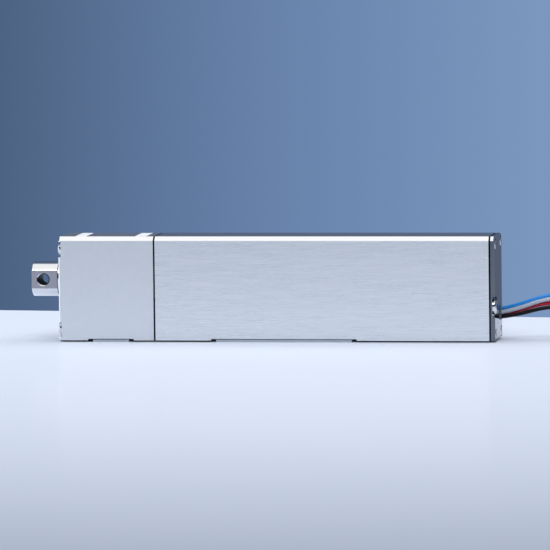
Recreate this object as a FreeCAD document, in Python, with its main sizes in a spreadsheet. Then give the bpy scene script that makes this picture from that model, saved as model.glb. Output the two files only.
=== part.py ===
import FreeCAD, Part
import math
import os
import Sketcher
from FreeCAD import Placement, Rotation, Vector

# Driving dimensions, in millimetres unless a name says otherwise
SIZES = {
    # housings
    "body_width": 16.5,
    "body_height": 30.0,
    "front_length": 27.3,
    "main_length": 95.5,
    "top_edge_chamfer": 1.2,
    "low_edge_radius": 0.5,
    "end_chamfer": 0.35,
    "gasket_thickness": 0.5,
    "gasket_inset": 0.1,
    "front_wall": 6.0,
    "bay_floor": 1.9,
    "bay_roof": 2.0,
    "bay_corner_radius": 4.0,
    "seat_step": 0.4,
    "seat_rise": 0.2,
    # rod and rod end
    "rod_axis_height": 17.45,
    "rod_diameter": 10.0,
    "rod_bore": 7.0,
    "rod_reach": 8.5,
    "rod_end_gap": 1.05,
    "rod_flats": 8.6,
    "rod_spigot": 9.0,
    "eye_diameter": 3.2,
    "eye_from_tip": 3.35,
    "eye_chamfer": 0.3,
    "tip_chamfer": 0.15,
    "stroke": 50.0,
    # front bearing of the rod
    "wiper_diameter": 12.6,
    "wiper_depth": 1.8,
    "bush_diameter": 12.0,
    "bush_length": 12.0,
    "bush_shoulder": 3.0,
    "rod_passage_clearance": 0.4,
    "bumper_thickness": 3.5,
    "bumper_wall": 0.7,
    "bumper_side_gap": 0.1,
    # top grooves, foot pads and base threads
    "groove_width": 3.3,
    "groove_depth": 0.1,
    "groove_from_front": 4.6,
    "groove_pitch": 17.2,
    "recess_depth": 0.7,
    "pad_proud": 0.2,
    "pad_side_inset": 0.15,
    "pad_end_gap": 1.4,
    "front_recess_start": 8.3,
    "front_recess_length": 13.2,
    "main_recess_start": 16.0,
    "main_recess_length": 41.7,
    "base_thread": 2.5,
    "base_thread_depth": 0.8,
    "front_thread_pitch": 6.0,
    "front_thread_depth": 4.0,
    "main_thread_pitch": 30.0,
    "main_thread_spread": 9.6,
    # fasteners
    "front_screw": 2.0,
    "front_head": 3.8,
    "front_head_height": 1.1,
    "front_seat_depth": 0.75,
    "front_seat_clearance": 0.3,
    "front_screw_side_inset": 2.65,
    "front_screw_low_inset": 3.5,
    "front_screw_high_inset": 3.7,
    "front_screw_grip": 4.5,
    "cover_screw": 1.6,
    "cover_head": 3.0,
    "cover_head_height": 0.9,
    "cover_seat_depth": 0.8,
    "cover_seat_clearance": 0.1,
    "cover_screw_wall": 0.25,
    "cover_screw_grip": 5.0,
    "frame_head": 4.3,
    "frame_head_height": 1.1,
    "frame_screw_inset": 1.05,
    "frame_screw_height": 10.0,
    "scallop_clearance": 0.75,
    "scallop_depth": 0.75,
    "thread_slack": 0.05,
    "hole_slack": 0.2,
    # rear cover and lead outlet
    "cover_thickness": 1.2,
    "outlet_inset": 1.65,
    "outlet_height": 7.75,
    "outlet_width": 2.6,
    "outlet_tall": 4.6,
    "outlet_radius": 0.6,
    "grommet_slack": 0.05,
    "grommet_proud": 0.3,
    "grommet_flange": 0.25,
    "grommet_flange_depth": 1.0,
    # gear pack at the rear of the bay
    "wire_chamber": 6.0,
    "gear_plate_thickness": 1.5,
    "gear_chamber": 5.5,
    "bearing_plate_thickness": 6.0,
    "plate_slack": 0.06,
    "notch_width": 5.0,
    "notch_depth": 1.6,
    "frame_wall": 1.5,
    "frame_thick_wall": 2.0,
    "gear_module": 0.4,
    "screw_teeth": 30,
    "pinion_teeth": 22,
    "pressure_angle_deg": 20,
    "tooth_backlash": 0.05,
    "centre_allowance": 0.05,
    "gear_face": 4.5,
    "gear_side_gap": 0.5,
    "pinion_face": 4.0,
    "gear_hub_wall": 0.7,
    "gear_web": 2.0,
    "gear_rim": 1.1,
    "pillar_diameter": 1.8,
    "pillar_spigot": 1.0,
    "pillar_spigot_depth": 1.0,
    "low_pillar_inset": 1.1,
    "low_pillar_rise": 4.2,
    "high_pillar_inset": 2.0,
    "high_pillar_drop": 2.2,
    # lead screw, nut and carriage
    "screw_diameter": 6.0,
    "screw_journal": 4.0,
    "screw_pivot": 2.5,
    "clip_thickness": 0.3,
    "clip_wall": 0.9,
    "bearing_diameter": 9.0,
    "bearing_width": 2.5,
    "ball_diameter": 1.2,
    "ball_clearance": 0.05,
    "race_wall": 0.75,
    "balls_per_ring": 7,
    "nut_flange": 2.5,
    "nut_length": 8.0,
    "rear_gap": 1.5,
    "carriage_length": 10.0,
    "carriage_drop": 3.85,
    "carriage_cap": 1.15,
    "carriage_slack": 0.1,
    "magnet_diameter": 4.0,
    "magnet_thickness": 0.9,
    # motor and gearhead
    "motor_diameter": 10.0,
    "motor_length": 26.0,
    "motor_edge_radius": 0.6,
    "gearhead_length": 14.0,
    "gearhead_pilot": 5.0,
    "gearhead_pilot_depth": 2.0,
    "gearhead_screw_circle": 7.2,
    "gearhead_screw_grip": 3.0,
    "gearhead_head": 2.8,
    "gearhead_head_height": 1.1,
    "end_cap_diameter": 9.0,
    "end_cap_length": 1.6,
    "encoder_board_thickness": 0.8,
    "encoder_diameter": 9.4,
    "encoder_length": 4.0,
    "encoder_wall": 0.6,
    "shaft_diameter": 2.0,
    "shaft_in_gearhead": 5.0,
    # control board
    "board_thickness": 0.8,
    "board_from_wall": 2.0,
    "board_rear_gap": 4.5,
    "board_slot_depth": 0.4,
    "board_slack": 0.1,
    "chip_height": 0.9,
    "chip_small": 5.0,
    "chip_large": 7.0,
    "chip_from_end": 12.0,
    "chip_from_capacitors": 11.1,
    "capacitor_length": 3.5,
    "capacitor_width": 2.8,
    "capacitor_height": 1.9,
    "capacitor_gap": 0.7,
    "header_length": 4.5,
    "header_width": 6.5,
    "header_height": 2.0,
    "sensor_length": 2.9,
    "sensor_width": 1.6,
    "sensor_height": 0.8,
    "sensor_gap": 0.6,
    "sensors": 5,
    # fits
    "press_fit": 0.01,
    "running_fit": 0.03,
    # leads
    "wire_diameter": 1.15,
    "wire_pitch": 1.2,
    "hank_start": 117.3,
    "hank_run": 21.0,
    "hank_radius": 6.0,
    "hank_side": -1.6,
    "tie_thickness": 0.5,
    "tie_width": 2.5,
    "tie_from_end": 6.0,
    "connector_length": 8.0,
    "connector_width": 2.8,
    "connector_height": 5.8,
    "connector_start": 4.0,
    "connector_radius": 0.3,
}

# Points of each lead from the grommet to the hank: x, y and z, chosen by hand
ROUTES = {
    "wire_black": [
        (66.6, 4.4, 6.3),
        (71.3, 4.4, 6.9),
        (78.3, 4.45, 8.4),
        (86.3, 4.45, 8.6),
        (94.3, 4.4, 6.5),
        (102.3, 4.4, 3.3),
        (110.3, 4.4, 1.4),
        (117.3, 4.4, 1.1),
    ],
    "wire_red": [
        (66.6, 5.5, 7.15),
        (71.3, 5.4, 7.95),
        (78.3, 5.2, 9.9),
        (86.3, 5.0, 10.4),
        (94.3, 4.8, 8.3),
        (102.3, 4.6, 4.9),
        (110.3, 4.45, 2.7),
        (117.3, 4.4, 2.3),
    ],
    "wire_white": [
        (66.6, 4.4, 8.0),
        (71.3, 4.4, 9.0),
        (78.3, 4.45, 11.4),
        (86.3, 4.5, 12.1),
        (94.3, 4.45, 10.1),
        (102.3, 4.4, 6.5),
        (110.3, 4.4, 4.0),
        (117.3, 4.4, 3.5),
    ],
    "wire_blue": [
        (66.6, 5.5, 9.2),
        (71.3, 5.4, 10.2),
        (78.3, 5.2, 12.4),
        (86.3, 5.0, 13.3),
        (94.3, 4.8, 11.5),
        (102.3, 4.6, 7.9),
        (110.3, 4.45, 5.3),
        (117.3, 4.4, 4.7),
    ],
}

# Turns a local z axis onto +X, with local x on Y and local y on Z
ALONG_X = Rotation(Vector(0, 1, 0), Vector(0, 0, 1), Vector(1, 0, 0), "ZXY")
UPRIGHT = Rotation()


class Size:
    """A length, with the sheet expression that gives it."""

    def __init__(self, value, text):
        self.value = value
        self.text = text

    def __add__(self, other):
        other = as_size(other)
        return Size(self.value + other.value, f"({self.text} + {other.text})")

    __radd__ = __add__

    def __sub__(self, other):
        other = as_size(other)
        return Size(self.value - other.value, f"({self.text} - {other.text})")

    def __rsub__(self, other):
        return as_size(other) - self

    def __mul__(self, other):
        other = as_size(other)
        return Size(self.value * other.value, f"({self.text} * {other.text})")

    __rmul__ = __mul__

    def __truediv__(self, other):
        other = as_size(other)
        return Size(self.value / other.value, f"({self.text} / {other.text})")

    def __neg__(self):
        return 0 - self


class Sizes:
    """The sheet's sizes by name."""


def as_size(number):
    if isinstance(number, Size):
        return number
    return Size(float(number), f"({float(number)})")


def make_sheet():
    """Writes every driving dimension to the sheet, one row each."""
    sheet = doc.addObject("Spreadsheet::Sheet", "Dimensions")
    sizes = Sizes()
    for row, (name, value) in enumerate(SIZES.items(), start=1):
        sheet.set(f"A{row}", name)
        sheet.set(f"B{row}", str(value))
        sheet.setAlias(f"B{row}", name)
        setattr(sizes, name, Size(float(value), f"Dimensions.{name}"))
    doc.recompute()
    return sizes


doc = FreeCAD.newDocument("linear_actuator")
s = make_sheet()
nodes = []

# Places along the axis, from the rod's tip to the rear screw heads
body_length = s.front_length + s.main_length + 2 * s.gasket_thickness + s.cover_thickness
front_face = s.rod_reach - (s.rod_reach + body_length + s.cover_head_height) / 2
joint_face = front_face + s.front_length
main_front = joint_face + s.gasket_thickness
main_rear = main_front + s.main_length
cover_front = main_rear + s.gasket_thickness
cover_rear = cover_front + s.cover_thickness
bay_front = main_front + s.front_wall
gear_plate_rear = main_rear - s.wire_chamber
gear_plate_front = gear_plate_rear - s.gear_plate_thickness
bearing_rear = gear_plate_front - s.gear_chamber
bearing_front = bearing_rear - s.bearing_plate_thickness
gear_front = bearing_rear + s.gear_side_gap
gear_rear = gear_front + s.gear_face
nut_rear = bearing_front - s.rear_gap
tube_rear = nut_rear - s.nut_flange
tube_front = front_face - s.rod_end_gap
carriage_front = tube_rear - s.carriage_length
motor_rear = bearing_front - s.gearhead_length
motor_front = motor_rear - s.motor_length

# Heights and half widths
half_width = s.body_width / 2
body_low = s.pad_proud
body_tall = s.body_height - s.pad_proud
rod_z = s.rod_axis_height
gear_centres = s.gear_module * (s.screw_teeth + s.pinion_teeth) / 2 + s.centre_allowance
motor_z = rod_z - gear_centres
carriage_low = rod_z - s.carriage_drop
carriage_high = rod_z + s.rod_diameter / 2 + s.carriage_cap
board_low = carriage_high + s.sensor_gap + s.sensor_height
board_high = board_low + s.board_thickness
rod_passage = s.rod_diameter + 2 * s.rod_passage_clearance
bumper_diameter = rod_passage + 2 * s.bumper_wall
bay_half = bumper_diameter / 2 + s.bumper_side_gap
bay_high = s.body_height - s.bay_roof
seat_half = bay_half + s.seat_step
seat_low = s.bay_floor - s.seat_rise
seat_high = bay_high + s.seat_rise
seat_radius = s.bay_corner_radius + s.seat_step
outlet_y = seat_half - s.outlet_inset


def keep(label, piece):
    """Names a finished sub-part and lists it for writing."""
    piece.Label = label
    nodes.append(piece)
    return piece


def bind(piece, path, size):
    piece.setExpression(path, as_size(size).text)


def place(piece, x, y, z, turn=ALONG_X):
    """Puts a primitive's base point at x, y, z and ties the place to the sheet."""
    at = [as_size(v) for v in (x, y, z)]
    piece.Placement = Placement(Vector(*[v.value for v in at]), turn)
    for axis, size in zip("xyz", at):
        bind(piece, f"Placement.Base.{axis}", size)
    return piece


def cylinder(name, diameter, length, x, y, z, turn=ALONG_X):
    piece = doc.addObject("Part::Cylinder", name)
    bind(piece, "Radius", diameter / 2)
    bind(piece, "Height", length)
    return place(piece, x, y, z, turn)


def block(name, x, y, z, length, width, tall):
    piece = doc.addObject("Part::Box", name)
    bind(piece, "Length", length)
    bind(piece, "Width", width)
    bind(piece, "Height", tall)
    return place(piece, x, y, z, UPRIGHT)


def joined(name, pieces):
    piece = doc.addObject("Part::MultiFuse", name)
    piece.Shapes = pieces
    return piece


def cut(name, base, tools):
    piece = doc.addObject("Part::Cut", name)
    piece.Base = base
    piece.Tool = tools[0] if len(tools) == 1 else joined(f"{name}_tools", tools)
    return piece


def group(name, pieces):
    piece = doc.addObject("Part::Compound", name)
    piece.Links = pieces
    return piece


def tube(name, outer, inner, length, x, y, z):
    """A plain ring along X."""
    wall = cylinder(f"{name}_outer", outer, length, x, y, z)
    hollow = cylinder(f"{name}_inner", inner, length, x, y, z)
    return cut(name, wall, [hollow])


def rounded(name, base, radius, wanted):
    """Rounds the edges of a Part object that the test picks."""
    doc.recompute()
    piece = doc.addObject("Part::Fillet", name)
    piece.Base = base
    radius = as_size(radius).value
    piece.Edges = [(i, radius, radius) for i, e in enumerate(base.Shape.Edges, 1) if wanted(e)]
    return piece


def new_body(label):
    return keep(label, doc.addObject("PartDesign::Body", label))


def new_sketch(body, name, role, offset):
    """A sketch on one of the body's own origin planes, moved along its normal."""
    sketch = body.newObject("Sketcher::SketchObject", name)
    plane = next(f for f in body.Origin.OriginFeatures if f.Role == role)
    sketch.AttachmentSupport = [(plane, "")]
    sketch.MapMode = "FlatFace"
    bind(sketch, "AttachmentOffset.Base.z", offset)
    return sketch


def constrain(sketch, kind, ends, size):
    size = as_size(size)
    index = sketch.addConstraint(Sketcher.Constraint(kind, *ends, size.value))
    bind(sketch, f"Constraints[{index}]", size)


def add_rectangle(sketch, left, low, width, tall):
    left, low, width, tall = (as_size(v) for v in (left, low, width, tall))
    right, high = left.value + width.value, low.value + tall.value
    corners = [
        Vector(left.value, low.value, 0),
        Vector(right, low.value, 0),
        Vector(right, high, 0),
        Vector(left.value, high, 0),
    ]
    first = sketch.GeometryCount
    for k in range(4):
        sketch.addGeometry(Part.LineSegment(corners[k], corners[(k + 1) % 4]))
    for k in range(4):
        sketch.addConstraint(Sketcher.Constraint("Coincident", first + k, 2, first + (k + 1) % 4, 1))
    for k in (0, 2):
        sketch.addConstraint(Sketcher.Constraint("Horizontal", first + k))
        sketch.addConstraint(Sketcher.Constraint("Vertical", first + k + 1))
    constrain(sketch, "DistanceX", (first, 1, first, 2), width)
    constrain(sketch, "DistanceY", (first + 1, 1, first + 1, 2), tall)
    constrain(sketch, "DistanceX", (-1, 1, first, 1), left)
    constrain(sketch, "DistanceY", (-1, 1, first, 1), low)


def add_circle(sketch, across, up, diameter):
    across, up, diameter = (as_size(v) for v in (across, up, diameter))
    centre = Vector(across.value, up.value, 0)
    edge = sketch.addGeometry(Part.Circle(centre, Vector(0, 0, 1), diameter.value / 2))
    constrain(sketch, "Diameter", (edge,), diameter)
    constrain(sketch, "DistanceX", (-1, 1, edge, 3), across)
    constrain(sketch, "DistanceY", (-1, 1, edge, 3), up)


def pad(body, name, role, offset, length, rectangles=(), circles=()):
    """Adds material along the plane's normal."""
    sketch = new_sketch(body, f"{name}_outline", role, offset)
    for values in rectangles:
        add_rectangle(sketch, *values)
    for values in circles:
        add_circle(sketch, *values)
    feature = body.newObject("PartDesign::Pad", name)
    feature.Profile = sketch
    bind(feature, "Length", length)
    return feature


def pocket(body, name, role, offset, depth, rectangles=(), circles=(), ahead=False):
    """Cuts against the plane's normal, or along it if ahead, and sees that something goes."""
    doc.recompute()
    before = body.Shape.Volume
    sketch = new_sketch(body, f"{name}_outline", role, offset)
    for values in rectangles:
        add_rectangle(sketch, *values)
    for values in circles:
        add_circle(sketch, *values)
    feature = body.newObject("PartDesign::Pocket", name)
    feature.Profile = sketch
    feature.Reversed = ahead
    bind(feature, "Length", depth)
    doc.recompute()
    if body.Shape.Volume >= before:
        raise RuntimeError(f"{name} cuts nothing from {body.Label}")
    return feature


def dress(body, kind, name, size, wanted):
    """A fillet or chamfer on the body's edges that the test picks."""
    doc.recompute()
    base = body.Tip
    edges = [f"Edge{i}" for i, e in enumerate(base.Shape.Edges, 1) if wanted(e)]
    feature = body.newObject(f"PartDesign::{kind}", name)
    feature.Base = (base, edges)
    bind(feature, "Radius" if kind == "Fillet" else "Size", size)
    return feature


def straight_x(edge):
    """True for a straight edge along the axis."""
    return edge.Curve.TypeId == "Part::GeomLine" and abs(edge.tangentAt(edge.FirstParameter).x) > 0.999


def near(value, size):
    return abs(value - as_size(size).value) < 1e-4


def at_height(z):
    return lambda edge: straight_x(edge) and near(edge.CenterOfMass.z, z)


def bay_corner(half, low, high):
    """Picks the four long edges of a pocket with these sides."""

    def test(edge):
        middle = edge.CenterOfMass
        on_side = near(abs(middle.y), half)
        return straight_x(edge) and on_side and (near(middle.z, low) or near(middle.z, high))

    return test


def on_plane_x(x):
    """Picks the edges that lie whole in one plane across the axis."""
    return lambda edge: near(edge.BoundBox.XMin, x) and near(edge.BoundBox.XMax, x)


def section(inset=0):
    """The housings' outline across the axis, drawn in by an inset."""
    inset = as_size(inset)
    return (-half_width + inset, body_low + inset, s.body_width - 2 * inset, body_tall - 2 * inset)


def outer_body(label, start, length, inset=0):
    """A prism of the housings' outline, its top edges chamfered and its low edges rounded."""
    body = new_body(label)
    pad(body, f"{label}_prism", "YZ_Plane", start, length, rectangles=[section(inset)])
    inset = as_size(inset)
    dress(body, "Chamfer", f"{label}_top_edges", s.top_edge_chamfer, at_height(s.body_height - inset))
    dress(body, "Fillet", f"{label}_low_edges", s.low_edge_radius, at_height(body_low + inset))
    return body


def both_sides(side, heights):
    return [(sign * side, height) for sign in (-1, 1) for height in heights]


front_screw_places = both_sides(
    half_width - s.front_screw_side_inset,
    (body_low + s.front_screw_low_inset, s.body_height - s.front_screw_high_inset),
)
corner_reach = seat_radius + s.cover_screw_wall + (s.cover_screw + s.thread_slack) / 2
corner_step = seat_radius - corner_reach * math.sqrt(0.5)
cover_screw_places = both_sides(seat_half - corner_step, (seat_low + corner_step, seat_high - corner_step))
frame_screw_place = (s.frame_screw_inset - seat_half, s.frame_screw_height)


def holes(places, diameter):
    return [(across, up, diameter) for across, up in places]


def mouths(places, width):
    """Rectangles that open round seats to the side face nearest to each."""
    openings = []
    for across, up in places:
        if across.value < 0:
            openings.append((-half_width, up - width / 2, half_width + across, width))
        else:
            openings.append((across, up - width / 2, half_width - across, width))
    return openings


def make_front_housing():
    """Machined block that guides the rod, with screw seats open to the sides and two cross grooves."""
    body = outer_body("front_housing", front_face, s.front_length)
    dress(body, "Chamfer", "front_housing_rim", s.end_chamfer, on_plane_x(front_face))
    bush_hole = s.bush_diameter + 2 * s.press_fit
    pocket(
        body,
        "bush_bore",
        "YZ_Plane",
        joint_face,
        s.front_length - s.bush_shoulder,
        circles=[(0, rod_z, bush_hole)],
    )
    pocket(
        body,
        "front_passage",
        "YZ_Plane",
        joint_face,
        s.front_length,
        circles=[(0, rod_z, rod_passage)],
    )
    wiper_seat = s.wiper_diameter + 2 * s.press_fit
    pocket(
        body,
        "wiper_seat",
        "YZ_Plane",
        front_face,
        s.wiper_depth,
        circles=[(0, rod_z, wiper_seat)],
        ahead=True,
    )
    pocket(
        body,
        "front_screw_holes",
        "YZ_Plane",
        joint_face,
        s.front_length,
        circles=holes(front_screw_places, s.front_screw + s.hole_slack),
    )
    seat = s.front_head + 2 * s.front_seat_clearance
    pocket(
        body,
        "front_screw_seats",
        "YZ_Plane",
        front_face,
        s.front_seat_depth,
        circles=holes(front_screw_places, seat),
        ahead=True,
    )
    pocket(
        body,
        "front_seat_mouths",
        "YZ_Plane",
        front_face,
        s.front_seat_depth,
        rectangles=mouths(front_screw_places, seat),
        ahead=True,
    )
    first = front_face + s.groove_from_front
    pocket(
        body,
        "top_grooves",
        "XY_Plane",
        s.body_height,
        s.groove_depth,
        rectangles=[
            (first + k * s.groove_pitch, -half_width, s.groove_width, s.body_width) for k in (0, 1)
        ],
    )
    start = front_face + s.front_recess_start
    pocket(
        body,
        "front_recess",
        "XY_Plane",
        body_low,
        s.recess_depth,
        rectangles=[(start, -half_width, s.front_recess_length, s.body_width)],
        ahead=True,
    )
    pocket(
        body,
        "front_base_threads",
        "XY_Plane",
        body_low,
        s.recess_depth + s.front_thread_depth,
        circles=front_thread_places(),
        ahead=True,
    )


def front_thread_places():
    middle = front_face + s.front_recess_start + s.front_recess_length / 2
    return [(middle + sign * s.front_thread_pitch / 2, 0, s.base_thread) for sign in (-1, 1)]


def main_thread_places():
    middle = main_front + s.main_recess_start + s.main_recess_length / 2
    return [
        (middle + a * s.main_thread_pitch / 2, b * s.main_thread_spread / 2, s.base_thread)
        for a in (-1, 1)
        for b in (-1, 1)
    ]


def make_main_housing():
    """Long housing, open at the rear, with a stepped bay for the drive."""
    body = outer_body("main_housing", main_front, s.main_length)
    pocket(
        body,
        "bay",
        "YZ_Plane",
        main_rear,
        s.main_length - s.front_wall,
        rectangles=[(-bay_half, s.bay_floor, 2 * bay_half, bay_high - s.bay_floor)],
    )
    dress(
        body,
        "Fillet",
        "bay_corners",
        s.bay_corner_radius,
        bay_corner(bay_half, s.bay_floor, bay_high),
    )
    pocket(
        body,
        "gear_seat",
        "YZ_Plane",
        main_rear,
        main_rear - bearing_front,
        rectangles=[(-seat_half, seat_low, 2 * seat_half, seat_high - seat_low)],
    )
    dress(
        body,
        "Fillet",
        "gear_seat_corners",
        seat_radius,
        bay_corner(seat_half, seat_low, seat_high),
    )
    slot_half = bay_half + s.board_slot_depth
    pocket(
        body,
        "board_slot",
        "YZ_Plane",
        bearing_front,
        bearing_front - bay_front,
        rectangles=[(-slot_half, board_low, 2 * slot_half, s.board_thickness + s.board_slack)],
    )
    pocket(
        body,
        "main_passage",
        "YZ_Plane",
        bay_front,
        s.front_wall,
        circles=[(0, rod_z, rod_passage)],
    )
    pocket(
        body,
        "front_threads",
        "YZ_Plane",
        main_front,
        s.front_screw_grip + s.hole_slack,
        circles=holes(front_screw_places, s.front_screw + s.thread_slack),
        ahead=True,
    )
    pocket(
        body,
        "cover_threads",
        "YZ_Plane",
        main_rear,
        s.cover_screw_grip + s.hole_slack,
        circles=holes(cover_screw_places, s.cover_screw + s.thread_slack),
    )
    start = main_front + s.main_recess_start
    pocket(
        body,
        "main_recess",
        "XY_Plane",
        body_low,
        s.recess_depth,
        rectangles=[(start, -half_width, s.main_recess_length, s.body_width)],
        ahead=True,
    )
    pocket(
        body,
        "main_base_threads",
        "XY_Plane",
        body_low,
        s.recess_depth + s.base_thread_depth,
        circles=main_thread_places(),
        ahead=True,
    )


def make_gaskets():
    """Thin seals between the housings and under the rear cover."""
    body = outer_body("front_gasket", joint_face, s.gasket_thickness, s.gasket_inset)
    pocket(
        body,
        "front_gasket_holes",
        "YZ_Plane",
        main_front,
        s.gasket_thickness,
        circles=holes(front_screw_places, s.front_screw + s.hole_slack)
        + [(0, rod_z, s.bush_diameter)],
    )
    body = outer_body("rear_gasket", main_rear, s.gasket_thickness, s.gasket_inset)
    pocket(
        body,
        "rear_gasket_window",
        "YZ_Plane",
        cover_front,
        s.gasket_thickness,
        rectangles=[(-seat_half, seat_low, 2 * seat_half, seat_high - seat_low)],
    )
    dress(
        body,
        "Fillet",
        "rear_gasket_corners",
        seat_radius,
        bay_corner(seat_half, seat_low, seat_high),
    )
    pocket(
        body,
        "rear_gasket_holes",
        "YZ_Plane",
        cover_front,
        s.gasket_thickness,
        circles=holes(cover_screw_places, s.cover_screw + s.hole_slack),
    )


def outlet(slack):
    """The lead outlet's rectangle, made larger all round by a slack."""
    width = s.outlet_width + 2 * slack
    tall = s.outlet_tall + 2 * slack
    return (outlet_y - width / 2, s.outlet_height - tall / 2, width, tall)


def outlet_corner(edge):
    """Picks the four short edges at the outlet's corners."""
    middle = edge.CenterOfMass
    on_side = near(abs(middle.y - outlet_y.value), s.outlet_width / 2)
    on_end = near(abs(middle.z - s.outlet_height.value), s.outlet_tall / 2)
    return straight_x(edge) and on_side and on_end


def make_rear_cover():
    """Thin end plate with the lead outlet, screw seats and a scallop for the middle screw."""
    body = outer_body("rear_cover", cover_front, s.cover_thickness)
    dress(body, "Chamfer", "rear_cover_rim", s.end_chamfer, on_plane_x(cover_rear))
    pocket(
        body,
        "cover_holes",
        "YZ_Plane",
        cover_rear,
        s.cover_thickness,
        circles=holes(cover_screw_places + [frame_screw_place], s.cover_screw + s.hole_slack),
    )
    pocket(
        body,
        "cover_outlet",
        "YZ_Plane",
        cover_rear,
        s.cover_thickness,
        rectangles=[outlet(0)],
    )
    dress(body, "Fillet", "cover_outlet_corners", s.outlet_radius, outlet_corner)
    pocket(
        body,
        "cover_screw_seats",
        "YZ_Plane",
        cover_rear,
        s.cover_seat_depth,
        circles=holes(cover_screw_places, s.cover_head + 2 * s.cover_seat_clearance),
    )
    scallop = s.frame_head + 2 * s.scallop_clearance
    pocket(
        body,
        "cover_scallop",
        "YZ_Plane",
        cover_rear,
        s.scallop_depth,
        circles=holes([frame_screw_place], scallop),
    )
    pocket(
        body,
        "scallop_mouth",
        "YZ_Plane",
        cover_rear,
        s.scallop_depth,
        rectangles=mouths([frame_screw_place], scallop),
    )


def make_grommet():
    """Soft block that fills the outlet, with a flange behind the cover."""
    body = new_body("lead_grommet")
    pad(
        body,
        "grommet_flange_prism",
        "YZ_Plane",
        cover_front - s.grommet_flange_depth,
        s.grommet_flange_depth,
        rectangles=[outlet(s.grommet_flange)],
    )
    pad(
        body,
        "grommet_block",
        "YZ_Plane",
        cover_front,
        s.cover_thickness + s.grommet_proud,
        rectangles=[outlet(-s.grommet_slack)],
    )
    dress(body, "Fillet", "grommet_corners", s.outlet_radius, straight_x)


def make_screw(name, seat, place_yz, diameter, grip, head, head_height, facing):
    """A domed screw whose head stands on the plane x = seat and faces -X or +X."""
    across, up = place_yz
    start = seat if facing > 0 else seat - head_height
    cap = cylinder(f"{name}_cap", head, head_height, start, across, up)
    crown = (seat + facing * head_height).value
    dome = rounded(f"{name}_dome", cap, 0.7 * head_height, on_plane_x(crown))
    shank_start = seat - grip if facing > 0 else seat
    shank = cylinder(f"{name}_shank", diameter, grip, shank_start, across, up)
    return joined(name, [dome, shank])


def make_screws():
    """Front screws, rear corner screws and the screw that ties the frame to the cover."""
    front = [
        make_screw(
            f"front_screw_{k}",
            front_face + s.front_seat_depth,
            at,
            s.front_screw,
            s.front_length - s.front_seat_depth + s.gasket_thickness + s.front_screw_grip,
            s.front_head,
            s.front_head_height,
            -1,
        )
        for k, at in enumerate(front_screw_places)
    ]
    keep("front_screws", group("front_screws", front))
    reach = s.cover_thickness + s.gasket_thickness + s.cover_screw_grip
    rear = [
        make_screw(
            f"cover_screw_{k}",
            cover_rear - s.cover_seat_depth,
            at,
            s.cover_screw,
            reach - s.cover_seat_depth,
            s.cover_head,
            s.cover_head_height,
            1,
        )
        for k, at in enumerate(cover_screw_places)
    ]
    keep("rear_cover_screws", group("rear_cover_screws", rear))
    middle = make_screw(
        "frame_screw_solid",
        cover_rear - s.scallop_depth,
        frame_screw_place,
        s.cover_screw,
        reach - s.scallop_depth,
        s.frame_head,
        s.frame_head_height,
        1,
    )
    keep("frame_screw", middle)


def make_foot_pad(label, start, length, threads):
    """Flat pad in a recess, a little proud of the housing, with threaded holes."""
    body = new_body(label)
    pad(
        body,
        f"{label}_plate",
        "XY_Plane",
        0,
        s.pad_proud + s.recess_depth,
        rectangles=[
            (
                start + s.pad_end_gap,
                -half_width + s.pad_side_inset,
                length - 2 * s.pad_end_gap,
                s.body_width - 2 * s.pad_side_inset,
            )
        ],
    )
    pocket(
        body,
        f"{label}_threads",
        "XY_Plane",
        s.pad_proud + s.recess_depth,
        s.pad_proud + s.recess_depth,
        circles=threads,
    )


def make_rod_end():
    """Solid tip with two flats and a cross hole, and a spigot that plugs the tube."""
    body = new_body("rod_end")
    tip = front_face - s.rod_reach
    pad(
        body,
        "rod_end_round",
        "YZ_Plane",
        tip,
        s.rod_reach - s.rod_end_gap,
        circles=[(0, rod_z, s.rod_diameter)],
    )
    dress(body, "Chamfer", "rod_tip_chamfer", s.tip_chamfer, on_plane_x(tip))
    flat = s.rod_flats / 2
    shaved = s.rod_diameter - flat
    low = rod_z - s.rod_diameter
    pocket(
        body,
        "rod_end_flats",
        "YZ_Plane",
        tube_front,
        s.rod_reach - s.rod_end_gap,
        rectangles=[(left, low, shaved, 2 * s.rod_diameter) for left in (-s.rod_diameter, flat)],
    )
    pocket(
        body,
        "eye",
        "XZ_Plane",
        s.rod_diameter,
        2 * s.rod_diameter,
        circles=[(tip + s.eye_from_tip, rod_z, s.eye_diameter)],
    )
    dress(body, "Chamfer", "eye_rims", s.eye_chamfer, eye_rim)
    pad(
        body,
        "rod_end_spigot",
        "YZ_Plane",
        tube_front,
        s.rod_spigot,
        circles=[(0, rod_z, s.rod_bore - 2 * s.press_fit)],
    )


def eye_rim(edge):
    """Picks the two rims where the cross hole meets the flats."""
    round_edge = edge.Curve.TypeId == "Part::GeomCircle"
    on_flat = near(abs(edge.CenterOfMass.y), s.rod_flats / 2)
    return round_edge and on_flat and near(edge.Curve.Radius, s.eye_diameter / 2)


def make_rod():
    """Hollow rod that slides over the lead screw."""
    keep(
        "rod_tube",
        tube("rod_tube", s.rod_diameter, s.rod_bore, tube_rear - tube_front, tube_front, 0, rod_z),
    )
    bore = s.screw_diameter + 2 * s.running_fit
    flange = cylinder("nut_flange_disc", s.rod_diameter, s.nut_flange, tube_rear, 0, rod_z)
    barrel_diameter = s.rod_bore - 2 * s.press_fit
    barrel = cylinder("nut_barrel", barrel_diameter, s.nut_length, tube_rear - s.nut_length, 0, rod_z)
    hollow = cylinder(
        "nut_hollow",
        bore,
        s.nut_length + s.nut_flange,
        tube_rear - s.nut_length,
        0,
        rod_z,
    )
    keep("drive_nut", cut("drive_nut", joined("nut_solid", [flange, barrel]), [hollow]))


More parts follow.
